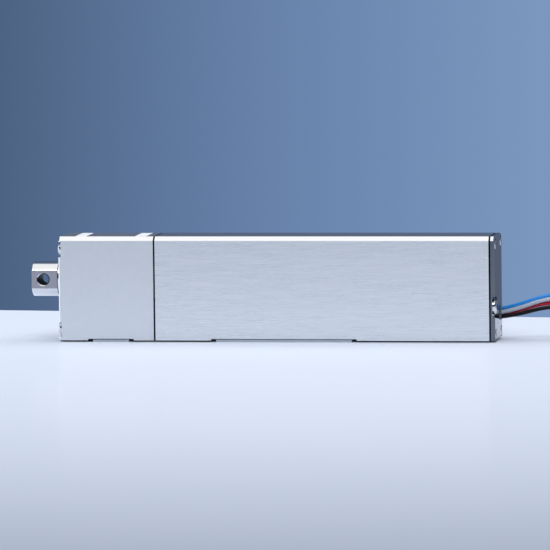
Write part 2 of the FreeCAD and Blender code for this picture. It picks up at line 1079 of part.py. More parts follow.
def make_carriage():
    """Saddle on the rod's rear end that slides between the bay's walls and carries the magnet."""
    body = new_body("rod_carriage")
    half = bay_half - s.carriage_slack
    pad(
        body,
        "carriage_block",
        "YZ_Plane",
        carriage_front,
        s.carriage_length,
        rectangles=[(-half, carriage_low, 2 * half, carriage_high - carriage_low)],
    )
    pocket(
        body,
        "carriage_bore",
        "YZ_Plane",
        tube_rear,
        s.carriage_length,
        circles=[(0, rod_z, s.rod_diameter + 2 * s.press_fit)],
    )
    middle = carriage_front + s.carriage_length / 2
    pocket(
        body,
        "magnet_seat",
        "XY_Plane",
        carriage_high,
        s.magnet_thickness,
        circles=[(middle, 0, s.magnet_diameter + 2 * s.press_fit)],
    )
    magnet = cylinder(
        "position_magnet",
        s.magnet_diameter,
        s.magnet_thickness,
        middle,
        0,
        carriage_high - s.magnet_thickness,
        UPRIGHT,
    )
    keep("position_magnet", magnet)


def make_rod_guides():
    """Wiper, guide bush and the soft stop inside the bay."""
    slide = s.rod_diameter + 2 * s.running_fit
    keep(
        "rod_wiper",
        tube("rod_wiper", s.wiper_diameter, slide, s.wiper_depth, front_face, 0, rod_z),
    )
    keep(
        "guide_bush",
        tube(
            "guide_bush",
            s.bush_diameter,
            slide,
            s.bush_length,
            front_face + s.bush_shoulder,
            0,
            rod_z,
        ),
    )
    keep(
        "stop_bumper",
        tube("stop_bumper", bumper_diameter, rod_passage, s.bumper_thickness, bay_front, 0, rod_z),
    )


def make_lead_screw():
    """Screw with a journal for the bearings and gear and a pivot in the gear plate."""
    front = carriage_front - s.stroke
    thread = cylinder("screw_thread", s.screw_diameter, bearing_front - front, front, 0, rod_z)
    journal = cylinder(
        "screw_journal",
        s.screw_journal,
        gear_rear - bearing_front,
        bearing_front,
        0,
        rod_z,
    )
    pivot = cylinder(
        "screw_pivot",
        s.screw_pivot,
        gear_plate_rear - gear_rear,
        gear_rear,
        0,
        rod_z,
    )
    keep("lead_screw", joined("lead_screw", [thread, journal, pivot]))
    keep(
        "gear_clip",
        tube(
            "gear_clip",
            s.screw_pivot + 2 * s.clip_wall,
            s.screw_pivot + 2 * s.press_fit,
            s.clip_thickness,
            gear_rear,
            0,
            rod_z,
        ),
    )


def make_bearings():
    """Two small ball bearings, one in each face of the bearing plate."""
    pitch = (s.screw_journal + s.bearing_diameter) / 2
    groove = s.ball_diameter / 2 + s.ball_clearance
    outer_rings, inner_rings, balls = [], [], []
    for k, start in enumerate((bearing_front, bearing_rear - s.bearing_width)):
        middle = start + s.bearing_width / 2
        race = doc.addObject("Part::Torus", f"race_{k}")
        bind(race, "Radius1", pitch / 2)
        bind(race, "Radius2", groove)
        place(race, middle, 0, rod_z)
        outer_inner = s.bearing_diameter - 2 * s.race_wall
        outer = tube(f"outer_blank_{k}", s.bearing_diameter, outer_inner, s.bearing_width, start, 0, rod_z)
        outer_rings.append(cut(f"outer_ring_{k}", outer, [race]))
        inner_outer = s.screw_journal + 2 * s.race_wall
        inner_bore = s.screw_journal + 2 * s.press_fit
        inner = tube(f"inner_blank_{k}", inner_outer, inner_bore, s.bearing_width, start, 0, rod_z)
        inner_rings.append(cut(f"inner_ring_{k}", inner, [race]))
        count = int(s.balls_per_ring.value)
        for n in range(count):
            turn = 2 * math.pi * n / count
            ball = doc.addObject("Part::Sphere", f"ball_{k}_{n}")
            bind(ball, "Radius", s.ball_diameter / 2)
            across = pitch / 2 * math.cos(turn)
            up = rod_z + pitch / 2 * math.sin(turn)
            balls.append(place(ball, middle, across, up))
    keep("bearing_outer_rings", group("bearing_outer_rings", outer_rings))
    keep("bearing_inner_rings", group("bearing_inner_rings", inner_rings))
    keep("bearing_balls", group("bearing_balls", balls))


def plate_outline(slack):
    """The rear bay's outline with a slack all round."""
    return (
        -seat_half + slack,
        seat_low + slack,
        2 * (seat_half - slack),
        seat_high - seat_low - 2 * slack,
    )


def plate_body(label, start, length):
    """A plate that fills the rear bay's outline."""
    body = new_body(label)
    slack = s.plate_slack
    pad(body, f"{label}_blank", "YZ_Plane", start, length, rectangles=[plate_outline(slack)])
    dress(
        body,
        "Fillet",
        f"{label}_corners",
        seat_radius - slack,
        bay_corner(seat_half - slack, seat_low + slack, seat_high - slack),
    )
    return body


def lead_notch(body, rear, thickness):
    """A notch in a plate's top edge through which the leads run to the board."""
    low = seat_high - s.plate_slack - s.notch_depth
    pocket(
        body,
        f"{body.Label}_notch",
        "YZ_Plane",
        rear,
        thickness,
        rectangles=[(-s.notch_width / 2, low, s.notch_width, s.notch_depth)],
    )


low_pillars = both_sides(seat_half - s.low_pillar_inset, [motor_z + s.low_pillar_rise])
high_pillars = both_sides(seat_half - s.high_pillar_inset, [seat_high - s.high_pillar_drop])
pillar_places = low_pillars + high_pillars
gearhead_screw_places = [(sign * s.gearhead_screw_circle / 2, motor_z) for sign in (-1, 1)]


def make_gear_plates():
    """Bearing plate against the bay's step, and the plate that closes the gear chamber."""
    body = plate_body("bearing_plate", bearing_front, s.bearing_plate_thickness)
    lead_notch(body, bearing_rear, s.bearing_plate_thickness)
    seat = s.bearing_diameter + 2 * s.press_fit
    pocket(
        body,
        "rear_bearing_seat",
        "YZ_Plane",
        bearing_rear,
        s.bearing_width,
        circles=[(0, rod_z, seat)],
    )
    pocket(
        body,
        "front_bearing_seat",
        "YZ_Plane",
        bearing_front,
        s.bearing_width,
        circles=[(0, rod_z, seat)],
        ahead=True,
    )
    pocket(
        body,
        "screw_and_shaft_holes",
        "YZ_Plane",
        bearing_rear,
        s.bearing_plate_thickness,
        circles=[
            (0, rod_z, s.bearing_diameter - 2 * s.race_wall),
            (0, motor_z, s.gearhead_pilot + 2 * s.press_fit),
        ]
        + holes(gearhead_screw_places, s.cover_screw + s.hole_slack),
    )
    pocket(
        body,
        "gearhead_head_seats",
        "YZ_Plane",
        bearing_rear,
        s.gearhead_head_height + s.hole_slack,
        circles=holes(gearhead_screw_places, s.gearhead_head + s.hole_slack),
    )
    pocket(
        body,
        "bearing_plate_pillar_holes",
        "YZ_Plane",
        bearing_rear,
        s.pillar_spigot_depth + s.hole_slack,
        circles=holes(pillar_places, s.pillar_spigot + 2 * s.press_fit),
    )
    body = plate_body("gear_plate", gear_plate_front, s.gear_plate_thickness)
    lead_notch(body, gear_plate_rear, s.gear_plate_thickness)
    pocket(
        body,
        "gear_plate_holes",
        "YZ_Plane",
        gear_plate_rear,
        s.gear_plate_thickness,
        circles=[
            (0, rod_z, s.screw_pivot + 2 * s.running_fit),
            (0, motor_z, s.shaft_diameter + 2 * s.running_fit),
        ]
        + holes(pillar_places, s.pillar_spigot + 2 * s.press_fit),
    )
    pillars = []
    for k, (across, up) in enumerate(pillar_places):
        post = cylinder(f"pillar_post_{k}", s.pillar_diameter, s.gear_chamber, bearing_rear, across, up)
        spigot = cylinder(
            f"pillar_spigot_{k}",
            s.pillar_spigot,
            s.gear_chamber + 2 * s.pillar_spigot_depth,
            bearing_rear - s.pillar_spigot_depth,
            across,
            up,
        )
        pillars.append(joined(f"pillar_{k}", [post, spigot]))
    keep("gear_pillars", group("gear_pillars", pillars))


def make_clamp_frame():
    """Frame between the gear plate and the cover, with one thick wall for its screw."""
    body = plate_body("clamp_frame", gear_plate_rear, s.wire_chamber)
    left, low, width, tall = plate_outline(s.plate_slack)
    pocket(
        body,
        "wire_space",
        "YZ_Plane",
        main_rear,
        s.wire_chamber,
        rectangles=[
            (
                left + s.frame_thick_wall,
                low + s.frame_wall,
                width - s.frame_thick_wall - s.frame_wall,
                tall - 2 * s.frame_wall,
            )
        ],
    )
    corner = left + s.frame_thick_wall
    far = left + width - s.frame_wall

    def inner_corner(edge):
        middle = edge.CenterOfMass
        return straight_x(edge) and (near(middle.y, corner) or near(middle.y, far))

    dress(body, "Fillet", "wire_space_corners", seat_radius - s.frame_wall, inner_corner)
    left, low, width, tall = outlet(s.grommet_flange + s.grommet_slack)
    pocket(
        body,
        "grommet_notch",
        "YZ_Plane",
        main_rear,
        s.grommet_flange_depth - s.gasket_thickness + s.hole_slack,
        rectangles=[(left, low, seat_half - left, tall)],
    )
    pocket(
        body,
        "frame_thread",
        "YZ_Plane",
        main_rear,
        s.cover_screw_grip + s.hole_slack,
        circles=holes([frame_screw_place], s.cover_screw + s.thread_slack),
    )


def flank_angle(base, radius, at_pitch, pitch_involute):
    """Half the angle that a tooth spans at a radius."""
    if radius <= base:
        return at_pitch + pitch_involute
    pressure = math.acos(base / radius)
    return at_pitch + pitch_involute - (math.tan(pressure) - pressure)


def gear_face(teeth, first_tooth):
    """The outline of a spur gear with involute flanks, each drawn as an arc through three points."""
    module = s.gear_module.value
    pressure = math.radians(s.pressure_angle_deg.value)
    pitch = module * teeth / 2
    base = pitch * math.cos(pressure)
    tip = pitch + module
    root = pitch - 1.25 * module
    at_pitch = math.pi / (2 * teeth) - s.tooth_backlash.value / (2 * pitch)
    pitch_involute = math.tan(pressure) - pressure
    start = max(base, root)

    def point(radius, angle):
        return Vector(radius * math.cos(angle), radius * math.sin(angle), 0)

    def half(radius):
        return flank_angle(base, radius, at_pitch, pitch_involute)

    edges = []
    step = 2 * math.pi / teeth
    for k in range(teeth):
        middle = first_tooth + k * step
        levels = (start, (start + tip) / 2, tip)
        rise = [point(r, middle - half(r)) for r in levels]
        fall = [point(r, middle + half(r)) for r in reversed(levels)]
        foot_in = point(root, middle - half(root))
        foot_out = point(root, middle + half(root))
        next_foot = point(root, middle + step - half(root))
        valley = point(root, middle + step / 2)
        if root < base:
            edges.append(Part.LineSegment(foot_in, rise[0]).toShape())
        edges.append(Part.Arc(*rise).toShape())
        edges.append(Part.Arc(rise[-1], point(tip, middle), fall[0]).toShape())
        edges.append(Part.Arc(*fall).toShape())
        if root < base:
            edges.append(Part.LineSegment(fall[-1], foot_out).toShape())
        edges.append(Part.Arc(foot_out, valley, next_foot).toShape())
    return Part.Face(Part.Wire(edges))


def gear_solid(label, teeth, first_tooth, width, bore, x, z):
    """A spur gear as one solid, placed on its axis."""
    solid = gear_face(teeth, first_tooth).extrude(Vector(0, 0, width.value))
    solid = solid.cut(Part.makeCylinder(bore.value / 2, width.value))
    piece = doc.addObject("Part::Feature", label)
    piece.Shape = solid
    piece.Placement = Placement(Vector(x.value, 0, z.value), ALONG_X)
    return piece


def make_gears():
    """Screw gear with a thinner web, and the pinion that meshes below it."""
    screw_teeth = int(s.screw_teeth.value)
    pinion_teeth = int(s.pinion_teeth.value)
    down = -math.pi / 2
    bore = s.screw_journal + 2 * s.press_fit
    blank = gear_solid("screw_gear_blank", screw_teeth, down, s.gear_face, bore, gear_front, rod_z)
    hub_diameter = s.screw_journal + 2 * s.race_wall
    rim_diameter = s.gear_module * (s.screw_teeth - 2.5) - 2 * s.gear_rim
    dish = tube(
        "gear_dish",
        rim_diameter,
        hub_diameter + 2 * s.gear_hub_wall,
        s.gear_face - s.gear_web,
        gear_front + s.gear_web,
        0,
        rod_z,
    )
    hub = tube("gear_hub", hub_diameter, bore, s.gear_side_gap, bearing_rear, 0, rod_z)
    dished = cut("screw_gear_dished", blank, [dish])
    keep("screw_gear", joined("screw_gear", [dished, hub]))
    up_gap = math.pi / 2 + math.pi / pinion_teeth
    start = gear_front + (s.gear_face - s.pinion_face) / 2
    shaft_hole = s.shaft_diameter + 2 * s.press_fit
    keep(
        "drive_pinion",
        gear_solid("drive_pinion", pinion_teeth, up_gap, s.pinion_face, shaft_hole, start, motor_z),
    )


def make_motor():
    """Motor, gearhead and encoder in line below the rod, driving backwards."""
    can = cylinder("motor_blank", s.motor_diameter, s.motor_length, motor_front, 0, motor_z)
    keep("motor_can", rounded("motor_can", can, s.motor_edge_radius, on_plane_x(motor_front)))
    case = cylinder("gearhead_barrel", s.motor_diameter, s.gearhead_length, motor_rear, 0, motor_z)
    pilot = cylinder(
        "gearhead_pilot_boss",
        s.gearhead_pilot,
        s.gearhead_pilot_depth,
        bearing_front,
        0,
        motor_z,
    )
    shaft_start = bearing_front - s.shaft_in_gearhead
    shaft_hole = cylinder(
        "gearhead_shaft_hole",
        s.shaft_diameter + 2 * s.running_fit,
        s.shaft_in_gearhead + s.gearhead_pilot_depth,
        shaft_start,
        0,
        motor_z,
    )
    threads = [
        cylinder(
            f"gearhead_thread_{k}",
            s.cover_screw + s.thread_slack,
            s.gearhead_screw_grip + s.hole_slack,
            bearing_front - s.gearhead_screw_grip - s.hole_slack,
            across,
            up,
        )
        for k, (across, up) in enumerate(gearhead_screw_places)
    ]
    solid = joined("gearhead_solid", [case, pilot])
    keep("gearhead_case", cut("gearhead_case", solid, [shaft_hole] + threads))
    keep(
        "output_shaft",
        cylinder("output_shaft", s.shaft_diameter, gear_plate_rear - shaft_start, shaft_start, 0, motor_z),
    )
    seat = bearing_rear - s.gearhead_head_height - s.hole_slack
    screws = [
        make_screw(
            f"gearhead_screw_{k}",
            seat,
            at,
            s.cover_screw,
            seat - bearing_front + s.gearhead_screw_grip,
            s.gearhead_head,
            s.gearhead_head_height,
            1,
        )
        for k, at in enumerate(gearhead_screw_places)
    ]
    keep("gearhead_screws", group("gearhead_screws", screws))
    cap_start = motor_front - s.end_cap_length
    keep(
        "motor_end_cap",
        cylinder("motor_end_cap", s.end_cap_diameter, s.end_cap_length, cap_start, 0, motor_z),
    )
    board_start = cap_start - s.encoder_board_thickness
    keep(
        "encoder_board",
        cylinder(
            "encoder_board",
            s.encoder_diameter,
            s.encoder_board_thickness,
            board_start,
            0,
            motor_z,
        ),
    )
    cover_start = board_start - s.encoder_length
    shell = cylinder("encoder_shell", s.encoder_diameter, s.encoder_length, cover_start, 0, motor_z)
    hollow = cylinder(
        "encoder_hollow",
        s.encoder_diameter - 2 * s.encoder_wall,
        s.encoder_length - s.encoder_wall,
        cover_start + s.encoder_wall,
        0,
        motor_z,
    )
    keep("encoder_cover", cut("encoder_cover", shell, [hollow]))


def make_board():
    """Control board in the bay's side slots, with parts on both faces."""
    start = bay_front + s.board_from_wall
    end = bearing_front - s.board_rear_gap
    half = bay_half + s.board_slot_depth - s.board_slack
    keep(
        "control_board",
        block("control_board", start, -half, board_low, end - start, 2 * half, s.board_thickness),
    )
    header_start = end - s.header_length
    capacitor_step = s.capacitor_length + s.capacitor_gap
    first_chip = start + s.chip_from_end
    last_chip = header_start - 2 * capacitor_step - s.chip_from_capacitors
    chips = []
    for k, side in enumerate((s.chip_large, s.chip_small, s.chip_small)):
        x = first_chip + k * (last_chip - first_chip) / 2 - side / 2
        chips.append(block(f"chip_{k}", x, -side / 2, board_high, side, side, s.chip_height))
    keep("board_chips", group("board_chips", chips))
    capacitors = [
        block(
            f"capacitor_{k}",
            header_start - k * capacitor_step,
            -s.capacitor_width / 2,
            board_high,
            s.capacitor_length,
            s.capacitor_width,
            s.capacitor_height,
        )
        for k in (1, 2)
    ]
    keep("board_capacitors", group("board_capacitors", capacitors))
    keep(
        "lead_header",
        block(
            "lead_header",
            header_start,
            -s.header_width / 2,
            board_high,
            s.header_length,
            s.header_width,
            s.header_height,
        ),
    )
    last = carriage_front + s.carriage_length / 2
    count = int(s.sensors.value)
    sensors = [
        block(
            f"sensor_{k}",
            last - s.stroke * k / (count - 1) - s.sensor_length / 2,
            -s.sensor_width / 2,
            board_low - s.sensor_height,
            s.sensor_length,
            s.sensor_width,
            s.sensor_height,
        )
        for k in range(count)
    ]
    keep("position_sensors", group("position_sensors", sensors))


def cord_path(points):
    """Straight runs joined by arcs as large as the runs allow, and the arcs' radii."""
    edges, radii = [], []
    start = points[0]
    for before, corner, after in zip(points, points[1:], points[2:]):
        back = (before - corner).normalize()
        ahead = (after - corner).normalize()
        turn = math.pi - back.getAngle(ahead)
        reach = 0.45 * min((before - corner).Length, (after - corner).Length)
        radius = reach / math.tan(turn / 2)
        first = corner + back * reach
        last = corner + ahead * reach
        bisector = (back + ahead).normalize()
        middle = corner + bisector * (radius / math.cos(turn / 2) - radius)
        edges.append(Part.LineSegment(start, first).toShape())
        edges.append(Part.Arc(first, middle, last).toShape())
        radii.append(radius)
        start = last
    edges.append(Part.LineSegment(start, points[-1]).toShape())
    return Part.Wire(edges), radii


def make_wires():
    """Four single leads from the grommet's face to the hank."""
    radius = s.wire_diameter.value / 2
    start = (cover_rear + s.grommet_proud).value
    for label, route in ROUTES.items():
        points = [Vector(start, *route[0][1:])] + [Vector(*p) for p in route[1:]]
        path, radii = cord_path(points)
        direction = points[1] - points[0]
        ring = Part.Wire(Part.makeCircle(radius, points[0], direction))
        solid = path.makePipeShell([ring], True, False)
        share = solid.Volume / (math.pi * radius**2 * path.Length)
        print(label, f"length {path.Length:.1f}", f"volume share {share:.3f}")
        print("  arc radii", " ".join(f"{r:.0f}" for r in radii))
        piece = doc.addObject("Part::Feature", label)
        piece.Shape = solid
        keep(label, piece)


def make_hank():
    """The put-away length as one closed shape, its tie, and the connector in its hollow."""
    start = s.hank_start.value
    end = start + s.hank_run.value
    pitch = s.wire_pitch.value
    middle = s.hank_side.value
    outer = s.hank_radius.value + pitch / 2
    inner = s.hank_radius.value - 1.5 * pitch
    low = s.tie_thickness.value
    tall = len(ROUTES) * pitch
    shift = pitch / 2
    corners = [
        Vector(start, middle + outer - pitch, low),
        Vector(start, middle + outer, low),
        Vector(end, middle + outer, low),
        Vector(end, middle - outer, low),
        Vector(start, middle - outer, low),
    ]
    far_bend = Vector(end + outer, middle, low)
    near_bend = Vector(start - outer + shift, middle - shift, low)
    outline = Part.Wire(
        [
            Part.LineSegment(corners[0], corners[1]).toShape(),
            Part.LineSegment(corners[1], corners[2]).toShape(),
            Part.Arc(corners[2], far_bend, corners[3]).toShape(),
            Part.LineSegment(corners[3], corners[4]).toShape(),
            Part.Arc(corners[4], near_bend, corners[0]).toShape(),
        ]
    )
    solid = Part.Face(outline).extrude(Vector(0, 0, tall))
    wall = start + s.connector_start.value
    hollow = Part.makeBox(end - wall, 2 * inner, tall, Vector(wall, middle - inner, low))
    solid = solid.cut(hollow.fuse(Part.makeCylinder(inner, tall, Vector(end, middle, low))))
    hank = doc.addObject("Part::Feature", "wire_hank")
    hank.Shape = solid
    keep("wire_hank", hank)

    tie_start = s.hank_start + s.hank_run - s.tie_from_end
    half = s.hank_radius + s.wire_pitch / 2
    inside = len(ROUTES) * s.wire_pitch
    band = block(
        "tie_band",
        tie_start,
        s.hank_side - half - s.tie_thickness,
        0,
        s.tie_width,
        2 * half + 2 * s.tie_thickness,
        inside + 2 * s.tie_thickness,
    )
    space = block(
        "tie_space",
        tie_start,
        s.hank_side - half,
        s.tie_thickness,
        s.tie_width,
        2 * half,
        inside,
    )
    keep("hank_tie", cut("hank_tie", band, [space]))

    lane = s.hank_side + s.hank_radius - 3 * s.wire_pitch
    blank = block(
        "connector_block",
        s.hank_start + s.connector_start,
        lane - s.connector_width / 2,
        0,
        s.connector_length,
        s.connector_width,
        s.connector_height,
    )
    keep("lead_connector", rounded("lead_connector", blank, s.connector_radius, straight_x))


make_front_housing()
make_main_housing()
make_gaskets()
make_rear_cover()
make_grommet()
make_screws()
make_foot_pad(
    "front_foot_pad",
    front_face + s.front_recess_start,
    s.front_recess_length,
    front_thread_places(),
)
make_foot_pad(
    "main_foot_pad",
    main_front + s.main_recess_start,
    s.main_recess_length,
    main_thread_places(),
)
make_rod_end()
make_rod()
make_carriage()
make_rod_guides()
make_lead_screw()
make_bearings()
make_gear_plates()
make_clamp_frame()
make_gears()
make_motor()
make_board()
make_wires()
make_hank()
doc.recompute()

for piece in doc.Objects:
    if "Invalid" in piece.State or "Error" in piece.State:
        raise RuntimeError(f"{piece.Label} failed: {piece.State}")
for piece in nodes:
    if piece.Shape.isNull() or not piece.Shape.isValid():
        raise RuntimeError(f"{piece.Label} has no valid shape")

os.makedirs("parts", exist_ok=True)
for piece in nodes:
    piece.Shape.exportStep(f"parts/{piece.Label}.step")
print(len(nodes), "sub-parts written")
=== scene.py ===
import math

import bmesh
import bpy
from mathutils import Matrix, Vector


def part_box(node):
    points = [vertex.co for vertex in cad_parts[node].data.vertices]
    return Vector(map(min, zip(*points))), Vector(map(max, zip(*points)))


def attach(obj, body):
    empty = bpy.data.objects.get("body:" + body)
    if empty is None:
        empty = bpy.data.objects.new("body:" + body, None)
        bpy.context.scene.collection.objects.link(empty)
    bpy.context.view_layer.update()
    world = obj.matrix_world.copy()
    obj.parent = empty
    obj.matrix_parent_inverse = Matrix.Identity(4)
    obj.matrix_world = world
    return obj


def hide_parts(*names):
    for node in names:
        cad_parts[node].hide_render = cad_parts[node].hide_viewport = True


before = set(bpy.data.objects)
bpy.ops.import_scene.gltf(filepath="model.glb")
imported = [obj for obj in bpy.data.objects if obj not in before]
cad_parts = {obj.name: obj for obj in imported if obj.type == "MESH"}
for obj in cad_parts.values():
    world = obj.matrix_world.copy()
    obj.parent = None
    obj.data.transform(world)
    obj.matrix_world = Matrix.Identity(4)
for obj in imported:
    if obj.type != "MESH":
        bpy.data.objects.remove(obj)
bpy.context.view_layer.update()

MM = 0.001

# Camera at the photograph's viewing angle, with its focal length in the picture's pixels
PICTURE = 550
FOCAL_PIXELS = 7737
SENSOR = 36
CAMERA_AZIMUTH = math.radians(8.74)
CAMERA_ELEVATION = math.radians(4.68)
CAMERA_ROLL = math.radians(-0.67)
CAMERA_DISTANCE = 2200 * MM
CAMERA_AIM = Vector((2.37, 0, 18.46)) * MM

# Leads: real size, and the route of each from the grommet to the hank, in metres
LEAD_DIAMETER = 1.15 * MM
LEAD_ROUTES = {
    "black": [
        (0.0666, 0.0044, 0.0063),
        (0.0713, 0.0044, 0.0069),
        (0.0783, 0.00445, 0.00885),
        (0.0863, 0.00445, 0.00945),
        (0.0943, 0.0044, 0.0065),
        (0.1023, 0.0044, 0.0033),
        (0.1103, 0.0044, 0.0014),
        (0.1173, 0.0044, 0.0011),
    ],
    "red": [
        (0.0666, 0.0055, 0.00715),
        (0.0713, 0.0054, 0.00795),
        (0.0783, 0.0052, 0.0101),
        (0.0863, 0.0050, 0.0105),
        (0.0943, 0.0048, 0.0083),
        (0.1023, 0.0046, 0.0049),
        (0.1103, 0.00445, 0.0027),
        (0.1173, 0.0044, 0.0023),
    ],
    "white": [
        (0.0666, 0.0044, 0.00755),
        (0.0713, 0.0044, 0.00855),
        (0.0783, 0.00445, 0.0111),
        (0.0863, 0.0045, 0.01225),
        (0.0943, 0.00445, 0.0101),
        (0.1023, 0.0044, 0.0065),
        (0.1103, 0.0044, 0.0040),
        (0.1173, 0.0044, 0.0035),
    ],
    "blue": [
        (0.0666, 0.0055, 0.0085),
        (0.0713, 0.0054, 0.0095),
        (0.0783, 0.0052, 0.0120),
        (0.0863, 0.0050, 0.0135),
        (0.0943, 0.0048, 0.0115),
        (0.1023, 0.0046, 0.0079),
        (0.1103, 0.00445, 0.0053),
        (0.1173, 0.0044, 0.0047),
    ],
}

# CAD nodes that each lead stands for
LEAD_NODES = {
    "black": ["wire_black", "wire_hank"],
    "red": ["wire_red"],
    "white": ["wire_white"],
    "blue": ["wire_blue"],
}

# Colour of each lead's insulation, pale and deep, and its sheen
LEAD_COLOURS = {
    "black": ("060709", "020304", 0.2),
    "red": ("EA0632", "D4042C", 0.5),
    "white": ("C2CAD6", "B2BBC8", 0.7),
    "blue": ("189CF6", "0E8EEA", 0.9),
}

# Hank: two straight sides and the bends that join them, seen from above
HANK_START = 117.3 * MM
HANK_END = 138.3 * MM
HANK_MIDDLE = -1.6 * MM
HANK_RADIUS = 6.0 * MM
HANK_PITCH = 1.2 * MM
BEND_STEPS = 12

# Plug at the end of the leads, with contact windows in its mating end and latch windows in its sides
PLUG_EDGE = 0.2 * MM
PLUG_WALL = 0.25 * MM
CONTACT_DEPTH = 2.5 * MM
LATCH_START = 2.6 * MM
LATCH_END = 5.0 * MM
LATCH_DEPTH = 0.5 * MM
FACES_AXIS = 0.99

# Screw heads: rings of the dome as shares of a head's height and radius, and its hexagon socket
RING_SIDES = 36
DOME = ((1, 0.62), (0.88, 0.8), (0.66, 0.93), (0.35, 1))
SOCKET_SIDES = 6
SOCKET_SHARE = 0.5
SOCKET_DEPTH = 0.75
SHARP_ANGLE = math.radians(40)

# Screws of each CAD node: way of the heads along X, radius and height of a head, radius of a shank
SCREWS = {
    "front_socket_screws": ("front_screws", -1, 1.9 * MM, 1.1 * MM, 1.0 * MM),
    "cover_socket_screws": ("rear_cover_screws", 1, 1.5 * MM, 0.9 * MM, 0.8 * MM),
    "frame_socket_screw": ("frame_screw", 1, 2.15 * MM, 1.1 * MM, 0.8 * MM),
}

# Zones of the finishes: edges of the housings, grooves, rod and pads, with painted shade along the
# housings' lower edge, at the rod's joint, in the eye's hole and along the pads' upper edge
PAINTED_EDGE_SHADE = 0.25 * MM
EDGE_SLANT = 0.62
EDGE_SPAN = 0.33
FLAT_FACING = 0.95
GROOVE_DEPTH = 0.1 * MM
GROOVE_REACH = 0.04 * MM
JOINT_AND_SHADE_WIDTH = 0.22 * MM
EYE_FROM_TIP = 3.35 * MM
PAINTED_HOLE_SHADE_REACH = 1.63 * MM
PAINTED_SEAM_SHADE = 0.26 * MM

# Table, which ends a little behind the part, in metres
TABLE_WIDTH = 2.4
TABLE_DEPTH = 1.8
TABLE_EDGE = 0.082
TABLE_TURN = math.radians(-7.3)

# Lamps: place, aim, width and depth in metres, watts, degrees of spread, and whether metal mirrors it
LAMPS = {
    "top_lamp": ((0.2, 0.22, 0.7), (0.2, 0.22, 0), 2.0, 0.94, 9.1, 180, False),
    "front_lamp": ((0.06, -0.6, 0.8), (0.02, 0.06, 0), 0.6, 0.4, 1.0, 90, True),
    "left_lamp": ((-0.6, 0.1, 0.2), (-0.06, 0, 0.015), 0.25, 0.4, 0.6, 180, True),
}

# Distance: tones from left to right behind the part, and upwards ahead of it
BACKDROP_TONES = [
    (-1.0, "EDF1F7"),
    (-0.6, "DDE4EE"),
    (-0.3, "4A5F80"),
    (-0.187, "4C6282"),
    (-0.152, "6882AA"),
    (-0.116, "7C98BF"),
    (-0.03, "7C98BF"),
    (0.1, "6A778D"),
    (0.2, "6A778D"),
    (0.6, "DDE4EE"),
]
AHEAD_TONES = [(0.05, "DEE5EE"), (0.1, "4A5666"), (0.5, "3A4452"), (0.7, "DEE5EE")]
UPPER_TONE = "52617B"
OVERHEAD_TONE = "FFFFFF"
FILL_TONE = "A6C2F0"
FILL_STRENGTH = 0.2

# Where the distance passes from one tone to the next: axis of the look, start and end
PASSAGES = {
    "sideways": ("X", -1.0, 1.0),
    "upper": ("Z", 0.0, 0.06),
    "behind": ("Y", -0.2, 0.3),
    "overhead": ("Z", 0.84, 0.92),
}

# Sockets of a mix node, by their place in its lists
FACTOR = 0
FLOAT_A = 2
FLOAT_OUT = 0
COLOUR_A = 6
COLOUR_B = 7
COLOUR_OUT = 2


def linear(code):
    """Turns an sRGB hex colour to linear red, green, blue and alpha."""
    channels = [int(code[k : k + 2], 16) / 255 for k in (0, 2, 4)]
    return [c / 12.92 if c <= 0.04045 else ((c + 0.055) / 1.055) ** 2.4 for c in channels] + [1]


def add_node(tree, kind, settings=(), inputs=()):
    """Adds a node, sets its properties, and sets or links its inputs."""
    node = tree.nodes.new(kind)
    for name, value in dict(settings).items():
        setattr(node, name, value)
    for name, value in dict(inputs).items():
        if isinstance(value, bpy.types.NodeSocket):
            tree.links.new(value, node.inputs[name])
        else:
            node.inputs[name].default_value = value
    return node


def grained(name, pale, deep, grain, roughness, stretch=(1, 1, 1), relief=0, **sockets):
    """A material whose colour and gloss wander between two values over grains of a size in mm."""
    material = bpy.data.materials.new(name)
    material.use_nodes = True
    tree = material.node_tree
    shader = tree.nodes["Principled BSDF"]
    for socket, value in sockets.items():
        shader.inputs[socket.replace("_", " ")].default_value = value
    place = add_node(tree, "ShaderNodeTexCoord").outputs["Object"]
    scale = [1 / (grain * MM * share) for share in stretch]
    grains = add_node(tree, "ShaderNodeMapping", inputs={"Vector": place, "Scale": scale})
    noise = add_node(
        tree,
        "ShaderNodeTexNoise",
        inputs={"Vector": grains.outputs["Vector"], "Scale": 1.0, "Detail": 3.0},
    )
    height = noise.outputs["Fac"]
    colour = add_node(
        tree,
        "ShaderNodeMix",
        {"data_type": "RGBA"},
        {FACTOR: height, COLOUR_A: linear(deep), COLOUR_B: linear(pale)},
    )
    gloss = add_node(
        tree,
        "ShaderNodeMapRange",
        inputs={"Value": height, "To Min": roughness[0], "To Max": roughness[1]},
    )
    tree.links.new(colour.outputs[COLOUR_OUT], shader.inputs["Base Color"])
    tree.links.new(gloss.outputs["Result"], shader.inputs["Roughness"])
    if relief:
        bump = add_node(tree, "ShaderNodeBump", inputs={"Height": height, "Distance": relief * MM})
        tree.links.new(bump.outputs["Normal"], shader.inputs["Normal"])
    return material


def axes(tree, kind):
    """X, Y and Z of one kind of coordinate, such as a surface's Object place or its Normal."""
    value = add_node(tree, "ShaderNodeTexCoord").outputs[kind]
    return add_node(tree, "ShaderNodeSeparateXYZ", inputs={"Vector": value}).outputs


def mark_zone(material, share, code, roughness, metallic=1.0):
    """Gives the part of a surface where share is 1 its own colour, gloss and metal."""
    tree = material.node_tree
    shader = tree.nodes["Principled BSDF"]
    for socket, kind, index, out, value in (
        ("Base Color", "RGBA", COLOUR_A, COLOUR_OUT, linear(code)),
        ("Roughness", "FLOAT", FLOAT_A, FLOAT_OUT, roughness),
        ("Metallic", "FLOAT", FLOAT_A, FLOAT_OUT, metallic),
    ):
        entry = shader.inputs[socket]
        before = entry.links[0].from_socket if entry.is_linked else entry.default_value
        mixed = add_node(
            tree,
            "ShaderNodeMix",
            {"data_type": kind},
            {FACTOR: share, index: before, index + 1: value},
        )
        tree.links.new(mixed.outputs[out], entry)


